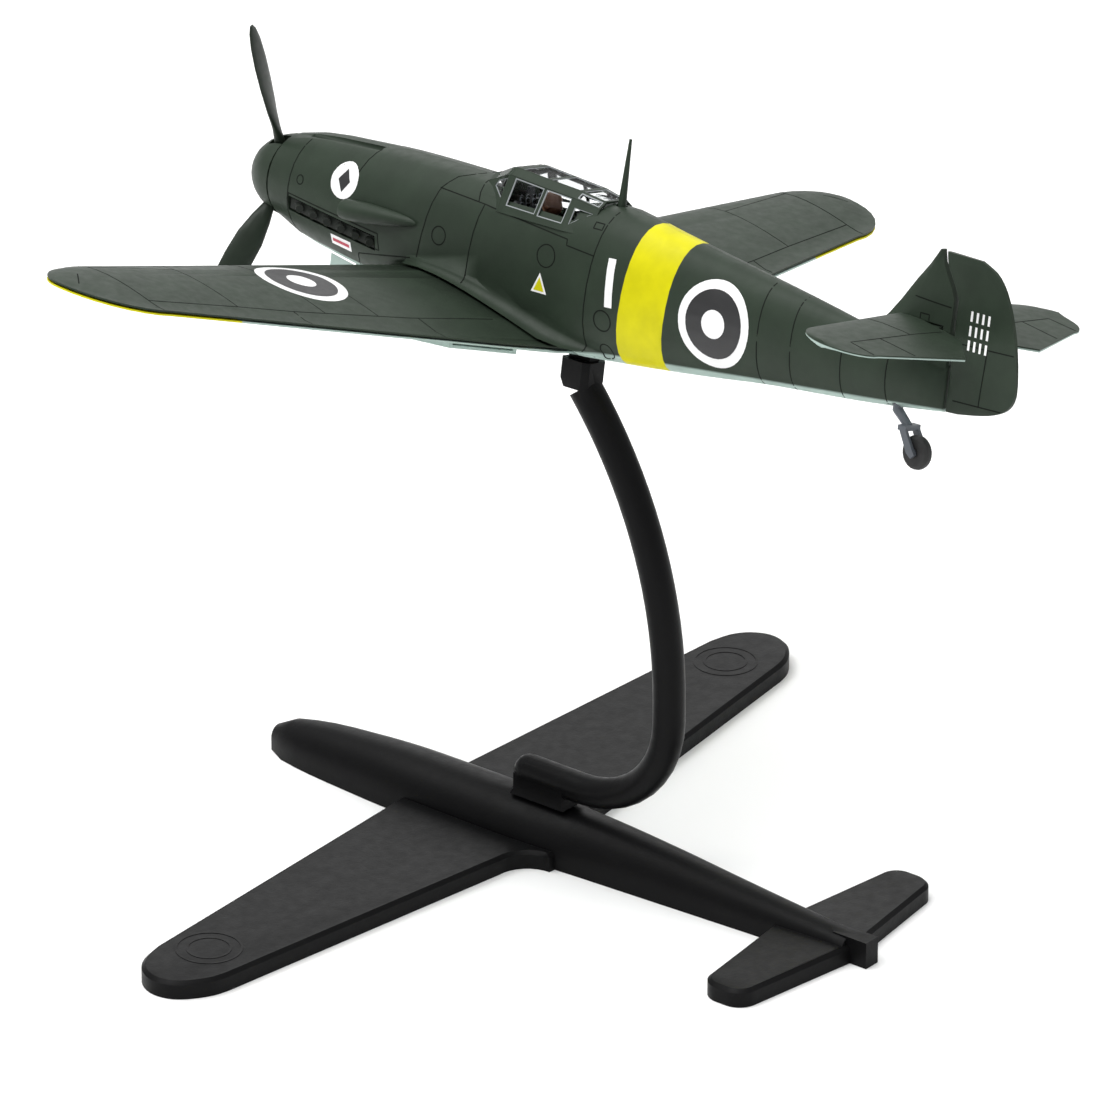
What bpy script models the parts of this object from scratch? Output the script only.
"""Display model of a single-engined fighter plane, held in a banked turn above its stand.

The plane is a moulded plastic kit: two fuselage halves, a one-piece lower wing with two upper
panels, tailplanes, a rudder, a spinning propeller and a furnished cockpit.  It drops over the
tongue of a curved arm, and the arm's two pegs drop into a base shaped like a plane from above.

World frame: X to starboard of the base, Y towards the base's nose, +Z up, base resting on z = 0.
Plane frame: X starboard, Y forward, Z up, origin on the wing's datum station.
Distances "aft" are measured back from a line just ahead of the spinner, and follow PLANE_LENGTH.
"""
import math

import bpy
import bmesh
from mathutils import Euler, Matrix, Vector

MM = 0.001

# ---------------------------------------------------------------- fits
GAP = 0.25 * MM                # between two pieces that are glued or rest on each other
RUNNING_CLEARANCE = 0.08 * MM  # round a shaft that turns, on the radius

# ---------------------------------------------------------------- plane, overall
PLANE_LENGTH = 122.8 * MM      # spinner tip to the rudder's trailing edge
DRAWN_LENGTH = 122.8 * MM      # the length that the distances aft are given for
SPINNER_TIP_AFT = 1.7 * MM
DATUM_AFT = 54.2 * MM          # the plane frame's origin
WING_SPAN = 134.8 * MM
TAIL_SPAN = 40.7 * MM
PROPELLER_DIAMETER = 41.4 * MM
SKIN_WALL = 1.0 * MM           # moulded wall of the fuselage halves

# ---------------------------------------------------------------- fuselage
# aft, half width, top, bottom, waist height, roundness exponent
HULL_ROWS = (
    (8.1, 5.10, 6.35, -4.20, 1.0, 2.00),
    (12.5, 5.60, 7.30, -5.70, 0.9, 2.10),
    (19.4, 5.95, 7.85, -6.80, 0.6, 2.20),
    (26.4, 6.05, 8.25, -7.90, 0.4, 2.30),
    (34.7, 6.10, 8.35, -9.30, 0.2, 2.40),
    (41.0, 6.05, 8.35, -9.90, 0.0, 2.40),
    (48.6, 6.00, 8.40, -9.90, 0.0, 2.40),
    (56.9, 5.60, 8.95, -9.80, 0.0, 2.40),
    (62.5, 5.20, 9.15, -9.30, 0.0, 2.35),
    (70.8, 4.55, 8.05, -8.50, 0.0, 2.20),
    (79.2, 3.90, 6.95, -7.50, 0.0, 2.15),
    (87.5, 3.20, 5.90, -6.40, 0.0, 2.10),
    (95.8, 2.55, 4.75, -5.60, -0.2, 2.10),
    (102.8, 2.00, 3.70, -4.90, -0.4, 2.00),
    (109.7, 1.45, 2.80, -4.00, -0.5, 2.00),
    (114.6, 1.00, 2.10, -3.30, -0.5, 2.00),
)
HULL_FRONT_AFT = 8.1 * MM      # front face of the cowling, behind the spinner
NOSE_WALL = 1.4 * MM           # front wall that carries the propeller shaft
CAVITY_END_AFT = 100.0 * MM    # the tail is moulded solid behind this
HULL_STATIONS = 30
HULL_RING_STEPS = 14

GUN_TROUGH_AFT = (11.5 * MM, 23.5 * MM)
GUN_TROUGH_X = 1.75 * MM
GUN_TROUGH_RADIUS = 0.6 * MM

# ---------------------------------------------------------------- fin and rudder
# height, leading edge aft, trailing edge aft of the fin
FIN_ROWS = (
    (1.5, 99.5, 114.0), (4.5, 102.6, 114.0), (6.2, 104.3, 114.0), (8.2, 105.9, 114.0),
    (9.9, 107.1, 114.0), (11.0, 107.9, 113.4), (12.4, 109.0, 112.5), (13.8, 110.0, 111.7),
    (15.2, 111.0, 111.4),
)
# height, trailing edge aft of the rudder
RUDDER_ROWS = (
    (-3.1, 116.3), (-2.6, 119.2), (-2.0, 121.6), (-1.1, 123.4), (0.1, 124.3), (1.4, 124.5),
    (4.2, 124.2), (7.3, 123.5), (9.9, 122.6),
)
HORN_ROWS = ((11.2, 122.0), (12.8, 121.0), (14.2, 119.5), (15.1, 117.3))
RUDDER_HINGE_AFT = 115.0 * MM
RUDDER_NOSE_RADIUS = 0.55 * MM
HULL_END_AFT = RUDDER_HINGE_AFT - RUDDER_NOSE_RADIUS - GAP
RUDDER_EDGE = 0.22 * MM        # half thickness at the rudder's trailing edge
FIN_HALF_THICKNESS = 0.95 * MM
FIN_TAPER = 0.045              # share of its thickness the fin loses for each mm of height

# ---------------------------------------------------------------- tailplane
TAILPLANE_Z = 5.9 * MM
TAIL_LEVEL_AFT = 112.5 * MM    # where the tailplane has that height
TAIL_INCIDENCE = math.radians(5.0)
TAILPLANE_THICKNESS = 1.3 * MM
TAIL_LEADING_AFT = (106.3 * MM, 107.4 * MM)     # root, start of the rounded tip
TAIL_TIP_AFT = 112.3 * MM
TAIL_TRAILING_AFT = (121.8 * MM, 117.9 * MM)    # outside the rudder cut-out, start of the tip
TAIL_CUTOUT = (1.2 * MM, 6.4 * MM, 116.4 * MM)  # inner x, outer x, aft at the inner end
TAIL_TIP_LENGTH = 3.6 * MM
TAIL_TAB = (5.0 * MM, 0.5 * MM)                 # length along the plane, thickness
TAIL_TAB_AFT = 110.2 * MM

# ---------------------------------------------------------------- wing
WING_LEADING_AFT = 28.8 * MM   # at the fuselage side
WING_SWEEP = 0.040             # the leading edge moves aft this much for each unit outboard
ROOT_CHORD = 29.2 * MM
TIP_CHORD = 16.0 * MM          # where the rounded tip starts
WING_ROOT_X = 6.0 * MM
WING_TIP_LENGTH = 8.9 * MM
WING_TIP_AFT = 36.6 * MM
WING_ROOT_Z = -7.6 * MM        # the split plane at the centre line
WING_LEVEL_AFT = 41.5 * MM     # where the split plane has that height
DIHEDRAL = math.radians(5.5)
INCIDENCE = math.radians(5.3)
ROOT_THICKNESS = 0.154         # shares of the chord
TIP_THICKNESS = 0.137
CAMBER = 0.02
CAMBER_PEAK = 0.4
EDGE_THICKNESS = 0.2 * MM      # least thickness of each wing half at its edges
WING_INNER_X = 2.6 * MM        # where an upper panel is cut out from, inside the fuselage
AIRFOIL_STEPS = 12
# sections along each rounded tip, wings and tailplane alike
TIP_SHARES = (0.2, 0.4, 0.58, 0.73, 0.85, 0.93, 0.98, 0.998)

FILLET_FRONT_AFT = 33.0 * MM   # wing root fairing
FILLET_REAR_AFT = 64.5 * MM
FILLET_HEIGHT = 2.4 * MM

WHEEL_RADIUS = 4.3 * MM
WHEEL_X = 27.0 * MM
WHEEL_AFT = 38.3 * MM
GEAR_DOOR_X = (11.0 * MM, 22.6 * MM)
GEAR_DOOR_WIDTH = 3.4 * MM

# ---------------------------------------------------------------- coolers and intake
RADIATOR_X = (9.5 * MM, 19.0 * MM)
RADIATOR_FRONT_AFT = 42.0 * MM
RADIATOR_SETBACK = 1.6 * MM    # of its rear from the wing's trailing edge
RADIATOR_DEPTH = (1.9 * MM, 1.0 * MM)    # at the front, at the rear
DUCT_WALL = 0.5 * MM
CORE_THICKNESS = 1.6 * MM
OIL_COOLER_AFT = (17.5 * MM, 28.5 * MM)
OIL_COOLER_HALF_WIDTH = 2.7 * MM
OIL_COOLER_BOTTOM = -9.0 * MM
INTAKE_AFT = (22.8 * MM, 35.3 * MM)
INTAKE_RADIUS = 1.3 * MM
INTAKE_Z = (0.7 * MM, 1.4 * MM)
INTAKE_STANDOFF = 0.9 * MM     # the mouth's centre, outside the cowling's side
INTAKE_MOUTH_DEPTH = 2.2 * MM
EXHAUST_AFT = (12.3 * MM, 27.2 * MM)
EXHAUST_Z = (-1.0 * MM, -2.6 * MM)
EXHAUST_HEIGHT = 1.3 * MM
EXHAUST_COUNT = 6
EXHAUST_PIPE_RADIUS = 0.5 * MM

# ---------------------------------------------------------------- propeller
THRUST_Z = 1.0 * MM
SPINNER_WALL = 0.7 * MM
SPINNER_FULLNESS = 1.8         # 1 is a cone, 2 an ellipsoid
PROPELLER_AFT = 6.35 * MM      # the blades' plane
HUB_RADIUS = 2.6 * MM
HUB_LENGTH = 1.4 * MM
BLADE_ROOT_RADIUS = 0.75 * MM
BLADE_CHORD = 3.8 * MM
BLADE_COUNT = 3
BLADE_TURN = math.radians(25.5)   # the first blade leans this far to port of upright
BACKPLATE_THICKNESS = 0.6 * MM
SHAFT_RADIUS = 0.8 * MM
SHAFT_END_AFT = 14.5 * MM
RETAINER_RADIUS = 1.9 * MM
RETAINER_LENGTH = 1.5 * MM

# ---------------------------------------------------------------- cockpit and canopy
COCKPIT_AFT = (44.5 * MM, 57.5 * MM)
COCKPIT_HALF_WIDTH = 4.1 * MM
COCKPIT_FLOOR_Z = -2.6 * MM
FLOOR_THICKNESS = 0.8 * MM
SEAT_AFT = 52.2 * MM           # front face of the seat's back
GLASS_WALL = 0.5 * MM
# aft, roof half width, roof height, sill half width
WINDSCREEN_ROWS = ((41.5, 1.2, 8.75, 2.9), (45.3, 2.3, 10.45, 4.5), (46.6, 2.35, 10.45, 4.75))
HOOD_ROWS = ((46.6, 2.35, 10.45, 4.75), (51.5, 2.3, 10.15, 4.8), (56.3, 2.15, 9.9, 4.75))
REAR_ROWS = ((56.3, 2.15, 9.9, 4.75), (60.2, 1.7, 9.35, 4.1))
SHOULDER = (1.0 * MM, 0.8 * MM)         # the sloping corner between roof and side
SILL_Z = 5.4 * MM
MAST_AFT = 61.0 * MM
MAST_TOP = (61.2 * MM, 17.1 * MM)
MAST_RADIUS = (0.5 * MM, 0.18 * MM)
MAST_SOCKET_DEPTH = 1.6 * MM

# ---------------------------------------------------------------- tail wheel
TAIL_WHEEL_AFT = 110.8 * MM
TAIL_WHEEL_Z = -8.9 * MM
TAIL_WHEEL_RADIUS = 2.05 * MM
TAIL_WHEEL_WIDTH = 1.2 * MM
TAIL_AXLE_RADIUS = 0.35 * MM
TAIL_LEG_TOP_AFT = 107.1 * MM
TAIL_LEG_RADIUS = 0.6 * MM
FORK_ARM = 0.45 * MM
LEG_SOCKET_DEPTH = 1.5 * MM

# ---------------------------------------------------------------- stand
TONGUE_AFT = 57.7 * MM         # where the arm's tongue enters the belly
TONGUE_SIZE = (1.6 * MM, 3.4 * MM, 3.0 * MM)
HEAD_SIZE = (3.9 * MM, 4.6 * MM, 2.7 * MM)
BELLY_Z = -9.9 * MM
PLANE_YAW = math.radians(-5.05)
PLANE_PITCH = math.radians(-4.2)
PLANE_ROLL = math.radians(13.3)

ARM_RADIUS = 1.9 * MM
ARM_TOP_RADIUS = 2.05 * MM
ARM_HEIGHT = 62.5 * MM         # the tube's upper end above the table
ARM_SWEEP_ANGLE = math.radians(38.4)
ARM_SWEEP_RADIUS = 59.5 * MM
ARM_BEND_RADIUS = 13.2 * MM
ARM_FOOT_Y = -10.3 * MM        # where the lower bend runs out level
ARM_FOOT_Z = 9.4 * MM
SEAT_OFFSET = (0.7 * MM, 0.7 * MM, 3.5 * MM)   # the plane's belly from the tube's upper end
ARM_STEPS = 34
FOOT_Y = (-8.6 * MM, -0.5 * MM)
FOOT_BOTTOM_CLEARANCE = GAP
PEG_LENGTHS_Y = ((-8.3 * MM, -5.4 * MM), (-3.9 * MM, -1.0 * MM))
PEG_HALF_WIDTH = 1.1 * MM
PEG_DEPTH = 3.2 * MM           # below the ridge's top
PEG_CLEARANCE = 0.25 * MM

BASE_SPAN = 117.8 * MM
BASE_NOSE_Y = 37.5 * MM
BASE_TAIL_Y = -54.2 * MM
SLAB_THICKNESS = 2.3 * MM
SLAB_BEVEL = 0.45 * MM
BASE_WING_LEADING = (14.4 * MM, 12.0 * MM)     # y at the ridge, y where the tip starts
BASE_WING_TRAILING = (-5.3 * MM, 0.6 * MM)
# tip outline as distances in from the tip and back from the leading edge's line, shares of the chord
BASE_TIP_SHAPE = ((6.5, 0.0), (3.6, 0.06), (1.6, 0.17), (0.35, 0.33), (0.0, 0.5), (0.6, 0.68), (2.2, 0.83),
                  (4.4, 0.95), (6.5, 1.0))
CORNER_STEPS = 8               # round each quarter-round corner of the slab
BASE_TAILPLANE_SPAN = 37.4 * MM
BASE_TAILPLANE_LEADING = (-41.0 * MM, -42.9 * MM)
BASE_TAILPLANE_TRAILING = (-51.8 * MM, -49.6 * MM)
# y, half width, height of the ridge that runs from nose to tail
RIDGE_ROWS = (
    (37.5, 1.3, 3.0), (36.4, 2.2, 3.9), (34.0, 2.9, 4.6), (29.5, 3.6, 5.4), (24.0, 4.1, 5.9),
    (17.0, 4.6, 6.3), (8.0, 4.75, 6.4), (-3.0, 4.8, 6.35), (-14.0, 4.1, 6.2), (-24.0, 3.5, 5.6),
    (-34.0, 2.95, 4.7), (-44.0, 2.4, 3.9), (-51.2, 2.1, 3.4),
)
RIDGE_STATIONS = 34
RIDGE_STEPS = 16
TAIL_BLOCK = (1.15 * MM, 3.4 * MM)             # half width, height


# ================================================================ small helpers
def clear_scene():
    for item in list(bpy.data.objects):
        bpy.data.objects.remove(item, do_unlink=True)


def station(aft):
    """Y in the plane frame of a place this far aft."""
    return (DATUM_AFT - aft) * PLANE_LENGTH / DRAWN_LENGTH


def table(rows, position, column):
    """Smooth value of one column of a table of millimetre rows, at a position in metres."""
    place = position / MM
    xs = [row[0] for row in rows]
    ys = [row[column] for row in rows]
    rising = xs[-1] > xs[0]
    if not rising:
        xs = [-x for x in xs]
        place = -place
    last = len(xs) - 1
    if place <= xs[0]:
        return ys[0]
    if place >= xs[last]:
        return ys[last]
    i = max(k for k in range(last) if xs[k] <= place)

    def slope(k):
        low, high = max(k - 1, 0), min(k + 1, last)
        return (ys[high] - ys[low]) / (xs[high] - xs[low])

    width = xs[i + 1] - xs[i]
    t = (place - xs[i]) / width
    h00 = 2 * t ** 3 - 3 * t ** 2 + 1
    h10 = t ** 3 - 2 * t ** 2 + t
    h01 = 3 * t ** 2 - 2 * t ** 3
    h11 = t ** 3 - t ** 2
    return h00 * ys[i] + h10 * width * slope(i) + h01 * ys[i + 1] + h11 * width * slope(i + 1)


def blend(a, b, t):
    return a + (b - a) * t


def spread(a, b, count):
    return [blend(a, b, i / (count - 1)) for i in range(count)]


def denser(values, parts):
    """The same run of values with each gap between two of them split into equal parts."""
    run = [blend(a, b, i / parts) for a, b in zip(values, values[1:]) for i in range(parts)]
    return run + [values[-1]]


def rounded(points, parts):
    """Smooth curve through flat points, with this many pieces between neighbours."""
    run = []
    last = len(points) - 1
    for i in range(last):
        before, a, b, after = (Vector(points[min(max(k, 0), last)]) for k in (i - 1, i, i + 1, i + 2))
        for k in range(parts):
            t = k / parts
            run.append(tuple(0.5 * (2 * a + (b - before) * t + (2 * before - 5 * a + 4 * b - after) * t ** 2
                                    + (3 * a - before - 3 * b + after) * t ** 3)))
    return run + [tuple(points[-1])]


def make_material(name, color, roughness, metallic=0.0, alpha=1.0):
    material = bpy.data.materials.new(name)
    material.use_nodes = True
    shader = material.node_tree.nodes["Principled BSDF"]
    shader.inputs["Base Color"].default_value = (*color, 1.0)
    shader.inputs["Roughness"].default_value = roughness
    shader.inputs["Metallic"].default_value = metallic
    shader.inputs["Alpha"].default_value = alpha
    return material


def object_from_bmesh(name, bm):
    bmesh.ops.recalc_face_normals(bm, faces=bm.faces)
    mesh = bpy.data.meshes.new(name)
    bm.to_mesh(mesh)
    bm.free()
    item = bpy.data.objects.new(name, mesh)
    bpy.context.scene.collection.objects.link(item)
    return item


def loft(name, rings):
    """Closed solid through rings of equal length, with both ends capped."""
    bm = bmesh.new()
    loops = [[bm.verts.new(point) for point in ring] for ring in rings]
    count = len(rings[0])
    for a, b in zip(loops, loops[1:]):
        for i in range(count):
            j = (i + 1) % count
            bm.faces.new((a[i], a[j], b[j], b[i]))
    bm.faces.new(loops[0])
    bm.faces.new(loops[-1])
    return object_from_bmesh(name, bm)


def prism(name, outline, low, high, axis="Z"):
    """Solid made by moving a flat outline along one axis."""
    def place(u, v, w):
        return {"X": (w, u, v), "Y": (u, w, v), "Z": (u, v, w)}[axis]
    return loft(name, [[place(u, v, w) for u, v in outline] for w in (low, high)])


def box(name, low, high):
    outline = [(low[0], low[1]), (high[0], low[1]), (high[0], high[1]), (low[0], high[1])]
    return prism(name, outline, low[2], high[2])


def tube_ring(centre, direction, radius, steps, stretch=1.0):
    """Ring of points round a centre, square to a direction, wider across X by stretch."""
    along = Vector(direction).normalized()
    side = Vector((1, 0, 0))
    if abs(along.x) > 0.9:
        side = Vector((0, 1, 0))
    up = along.cross(side).normalized()
    side = up.cross(along).normalized()
    ring = []
    for i in range(steps):
        angle = math.tau * (i + 0.5) / steps
        offset = side * (math.cos(angle) * stretch) + up * math.sin(angle)
        ring.append(Vector(centre) + offset * radius)
    return ring


def rod(name, start, end, radius, steps=16, end_radius=None):
    start, end = Vector(start), Vector(end)
    last = radius if end_radius is None else end_radius
    rings = [tube_ring(start, end - start, radius, steps), tube_ring(end, end - start, last, steps)]
    return loft(name, rings)


def turned(name, centre, profile, steps=28):
    """Body of revolution about a line along Y; the profile holds (y, radius) pairs."""
    rings = []
    for y, radius in profile:
        ring = []
        for i in range(steps):
            angle = math.tau * (i + 0.5) / steps
            ring.append((centre[0] + radius * math.cos(angle), y, centre[1] + radius * math.sin(angle)))
        rings.append(ring)
    return loft(name, rings)


def combine(target, other, operation):
    """Apply one exact Boolean to the target and remove the other body."""
    modifier = target.modifiers.new("combine", "BOOLEAN")
    modifier.operation = operation
    modifier.solver = "EXACT"
    modifier.object = other
    bpy.context.view_layer.update()
    result = target.evaluated_get(bpy.context.evaluated_depsgraph_get())
    mesh = bpy.data.meshes.new_from_object(result)
    target.modifiers.clear()
    old = target.data
    target.data = mesh
    bpy.data.meshes.remove(old)
    bpy.data.objects.remove(other, do_unlink=True)


def cut(target, *cutters):
    for cutter in cutters:
        combine(target, cutter, "DIFFERENCE")


def join(target, *others):
    for other in others:
        combine(target, other, "UNION")


def keep_common(target, other):
    combine(target, other, "INTERSECT")


def copy_of(item, name):
    twin = bpy.data.objects.new(name, item.data.copy())
    bpy.context.scene.collection.objects.link(twin)
    return twin


def shade(item, angle=40.0):
    item.data.shade_smooth()
    item.data.set_sharp_from_angle(angle=math.radians(angle))


def finish(item, name, material, parent=None, origin=(0, 0, 0)):
    """Name a piece, tidy its mesh, colour it and put its origin where it turns."""
    bm = bmesh.new()
    bm.from_mesh(item.data)
    bmesh.ops.remove_doubles(bm, verts=bm.verts, dist=0.0005 * MM)
    bmesh.ops.translate(bm, vec=-Vector(origin), verts=bm.verts)
    bmesh.ops.triangulate(bm, faces=bm.faces)
    bmesh.ops.recalc_face_normals(bm, faces=bm.faces)
    bm.to_mesh(item.data)
    bm.free()
    item.name = name
    item.data.name = name
    item.location = origin
    item.data.materials.clear()
    item.data.materials.append(material)
    item.parent = parent
    shade(item)
    return item


# ================================================================ fuselage
def hull_profile(aft, grow=0.0, steps=HULL_RING_STEPS):
    """Right-hand outline of the hull at a station, from top to bottom, as (x, z) pairs."""
    half, top, bottom, waist = (table(HULL_ROWS, aft, c) * MM for c in (1, 2, 3, 4))
    power = 2.0 / table(HULL_ROWS, aft, 5)
    points = []
    for i in range(steps + 1):
        angle = math.pi * (0.5 - i / steps)
        reach = top - waist if angle >= 0 else waist - bottom
        x = (half + grow) * abs(math.cos(angle)) ** power
        z = waist + math.copysign((reach + grow) * abs(math.sin(angle)) ** power, angle)
        points.append((x, z))
    points[0] = (0.0, points[0][1])
    points[-1] = (0.0, points[-1][1])
    return points


def hull_side_x(aft, z, grow=0.0):
    """Half width of the hull at a station and height."""
    half, top, bottom, waist = (table(HULL_ROWS, aft, c) * MM for c in (1, 2, 3, 4))
    power = table(HULL_ROWS, aft, 5)
    reach = (top - waist if z >= waist else waist - bottom) + grow
    share = min(abs(z - waist) / reach, 1.0)
    return (half + grow) * (1.0 - share ** power) ** (1.0 / power)


def hull_solid(name, grow, start, end, stations=HULL_STATIONS):
    """Whole hull as one closed solid, swollen by grow."""
    rings = []
    for aft in spread(start, end, stations):
        right = hull_profile(aft, grow)
        outline = right + [(-x, z) for x, z in right[-2:0:-1]]
        rings.append([(x, station(aft), z) for x, z in outline])
    return loft(name, rings)


def hull_cavity():
    rings = []
    for aft in spread(HULL_FRONT_AFT + NOSE_WALL, CAVITY_END_AFT, HULL_STATIONS):
        right = hull_profile(aft, -SKIN_WALL)
        outline = right + [(-x, z) for x, z in right[-2:0:-1]]
        rings.append([(x, station(aft), z) for x, z in outline])
    return loft("cavity", rings)


def fin_blank():
    """Fin section by section; its lowest sections are buried in the tail."""
    rings = []
    for row in FIN_ROWS:
        z, lead, trail = (value * MM for value in row)
        trail = min(trail, HULL_END_AFT - 0.1 * MM)
        thick = FIN_HALF_THICKNESS * (1.0 - FIN_TAPER * max(z / MM - 4.0, 0.0))
        shape = ((0.0, 0.25), (0.08, 0.6), (0.3, 1.0), (0.6, 0.92), (1.0, 0.6))
        right = [(thick * t, station(blend(lead, trail, u)), z) for u, t in shape]
        rings.append(right + [(-x, y, z) for x, y, z in right[::-1]])
    return loft("fin", rings)


def saddle_cutter():
    """Everything under the hull that the lower wing's centre section takes the place of."""
    front = WING_LEADING_AFT - GAP
    rear = WING_LEADING_AFT + ROOT_CHORD + GAP
    reach = 15 * MM
    rings = []
    for aft in (front, rear):
        y = station(aft)
        outline = ((-reach, BELLY_Z - reach), (reach, BELLY_Z - reach), (reach, split_z(reach, y) + GAP),
                   (0, split_z(0, y) + GAP), (-reach, split_z(reach, y) + GAP))
        rings.append([(x, y, z) for x, z in outline])
    return loft("saddle", rings)


def fillet(side):
    """Fairing that blends the upper surface of the wing into the fuselage side."""
    rings = []
    for aft in spread(FILLET_FRONT_AFT, FILLET_REAR_AFT, 12):
        y = station(aft)
        share = (aft - FILLET_FRONT_AFT) / (FILLET_REAR_AFT - FILLET_FRONT_AFT)
        size = FILLET_HEIGHT * (0.35 + 0.65 * share) * (1.0 if share < 0.75 else (1.0 - share) * 3.2 + 0.2)
        root_x = WING_ROOT_X
        floor = wing_top_z(root_x, y) + GAP
        inner_x = hull_side_x(aft, floor + size) - 0.5 * MM
        wall_x = hull_side_x(aft, floor + size * 0.5)
        ring = [(side * inner_x, y, floor)]
        for k in range(5):
            angle = math.pi / 2 * k / 4
            x = wall_x + size * (1 - math.sin(angle)) + 0.1 * MM
            z = wing_top_z(max(x, root_x), y) + GAP + size * (1 - math.cos(angle)) + 0.05 * MM
            ring.append((side * x, y, z))
        ring.append((side * inner_x, y, floor + size))
        rings.append(ring)
    return loft("fillet", rings)


def exhaust_slot(side, margin, depth_in, depth_out):
    """Long block that follows the cowling's side through the exhaust slot."""
    rings = []
    for share in spread(0.0, 1.0, 6):
        aft = blend(EXHAUST_AFT[0] - margin, EXHAUST_AFT[1] + margin, share)
        z = blend(*EXHAUST_Z, share)
        half = EXHAUST_HEIGHT / 2 + margin
        outer = hull_side_x(aft, z)
        y = station(aft)
        rings.append([(side * (outer - depth_in), y, z - half), (side * (outer + depth_out), y, z - half),
                      (side * (outer + depth_out), y, z + half), (side * (outer - depth_in), y, z + half)])
    return loft("slot", rings)


def gun_trough(side):
    start, end = GUN_TROUGH_AFT
    top = [table(HULL_ROWS, aft, 2) * MM - 0.25 * MM for aft in (start, end)]
    return rod("trough", (side * GUN_TROUGH_X, station(start), top[0] + 0.35 * MM),
               (side * GUN_TROUGH_X, station(end), top[1] - 0.15 * MM), GUN_TROUGH_RADIUS, 12)


def cockpit_cutter():
    start, end = COCKPIT_AFT
    return box("opening", (-COCKPIT_HALF_WIDTH, station(end), 0.5 * MM),
               (COCKPIT_HALF_WIDTH, station(start), 14 * MM))


def shaft_bore():
    return rod("bore", (0, station(HULL_FRONT_AFT - 2 * MM), THRUST_Z),
               (0, station(HULL_FRONT_AFT + 4 * MM), THRUST_Z), SHAFT_RADIUS + RUNNING_CLEARANCE, 24)


def mast_socket():
    top = table(HULL_ROWS, MAST_AFT, 2) * MM
    return rod("socket", (0, station(MAST_AFT), top - MAST_SOCKET_DEPTH - GAP),
               (0, station(MAST_AFT), top + 2 * MM), MAST_RADIUS[0] + GAP, 12)


def leg_socket():
    bottom = table(HULL_ROWS, TAIL_LEG_TOP_AFT, 3) * MM
    return rod("socket", (0, station(TAIL_LEG_TOP_AFT), bottom + LEG_SOCKET_DEPTH + GAP),
               (0, station(TAIL_LEG_TOP_AFT), bottom - 2 * MM), TAIL_LEG_RADIUS + GAP, 12)


def tail_tab(margin):
    length, thickness = TAIL_TAB
    middle = TAILPLANE_Z - (TAIL_TAB_AFT - TAIL_LEVEL_AFT) * math.tan(TAIL_INCIDENCE)
    return box("tab", (-2.5 * MM, station(TAIL_TAB_AFT + length / 2 + margin), middle - thickness / 2 - margin),
               (2.5 * MM, station(TAIL_TAB_AFT - length / 2 - margin), middle + thickness / 2 + margin))


def build_fuselage(paint, parent):
    """The whole shell first, then a cut down each side of the seam."""
    shell = hull_solid("shell", 0.0, HULL_FRONT_AFT, HULL_END_AFT)
    join(shell, fin_blank(), fillet(-1), fillet(1))
    cut(shell, hull_cavity(), saddle_cutter(), cockpit_cutter(), shaft_bore(), mast_socket(), leg_socket(),
        tail_tab(GAP), tongue_slot(GAP))
    for side in (-1, 1):
        cut(shell, exhaust_slot(side, GAP, 2.5 * MM, 2 * MM), gun_trough(side))
    for side, name in ((-1, "fuselage_left"), (1, "fuselage_right")):
        half = copy_of(shell, "half")
        low, high = sorted((side * GAP / 2, -side * 20 * MM))
        cut(half, box("seam", (low, station(130 * MM), -20 * MM), (high, station(0.0) + 5 * MM, 20 * MM)))
        finish(half, name, paint, parent)
    bpy.data.objects.remove(shell, do_unlink=True)


# ================================================================ wing
def wing_edges(x):
    """Leading and trailing edge, aft, at a distance out from the centre."""
    x = abs(x)
    tip_start = WING_SPAN / 2 - WING_TIP_LENGTH
    inboard = min(max(x, WING_ROOT_X), tip_start)
    share = (inboard - WING_ROOT_X) / (tip_start - WING_ROOT_X)
    lead = WING_LEADING_AFT + (inboard - WING_ROOT_X) * WING_SWEEP
    trail = lead + blend(ROOT_CHORD, TIP_CHORD, share)
    if x > tip_start:
        t = min((x - tip_start) / WING_TIP_LENGTH, 0.998)
        pull = 1.0 - math.sqrt(1.0 - t * t)
        lead = blend(lead, WING_TIP_AFT, pull)
        trail = blend(trail, WING_TIP_AFT, pull)
    return lead, trail


def split_z(x, y):
    """Height of the plane that the wing halves part on."""
    middle = station(WING_LEVEL_AFT)
    return WING_ROOT_Z + abs(x) * math.tan(DIHEDRAL) + (y - middle) * math.tan(INCIDENCE)


def airfoil(x, share):
    """Upper and lower offsets from the split plane, at a share of the chord."""
    lead, trail = wing_edges(x)
    chord = trail - lead
    outboard = min(abs(x) / (WING_SPAN / 2), 1.0)
    ratio = blend(ROOT_THICKNESS, TIP_THICKNESS, outboard)
    u = share
    thick = 5 * ratio * chord * (0.2969 * math.sqrt(u) - 0.126 * u - 0.3516 * u ** 2
                                 + 0.2843 * u ** 3 - 0.1036 * u ** 4)
    if u < CAMBER_PEAK:
        mean = CAMBER * chord * (2 * CAMBER_PEAK * u - u * u) / CAMBER_PEAK ** 2
    else:
        mean = CAMBER * chord * (1 - 2 * CAMBER_PEAK + 2 * CAMBER_PEAK * u - u * u) / (1 - CAMBER_PEAK) ** 2
    least = EDGE_THICKNESS + GAP / 2
    return max(mean + thick, least), min(mean - thick, -least)


def wing_top_z(x, y):
    lead, trail = wing_edges(x)
    share = min(max((DATUM_AFT - y * DRAWN_LENGTH / PLANE_LENGTH - lead) / (trail - lead), 0.0), 1.0)
    return split_z(x, y) + airfoil(x, share)[0]


def chord_shares():
    return [0.5 - 0.5 * math.cos(math.pi * i / AIRFOIL_STEPS) for i in range(AIRFOIL_STEPS + 1)]


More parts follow.
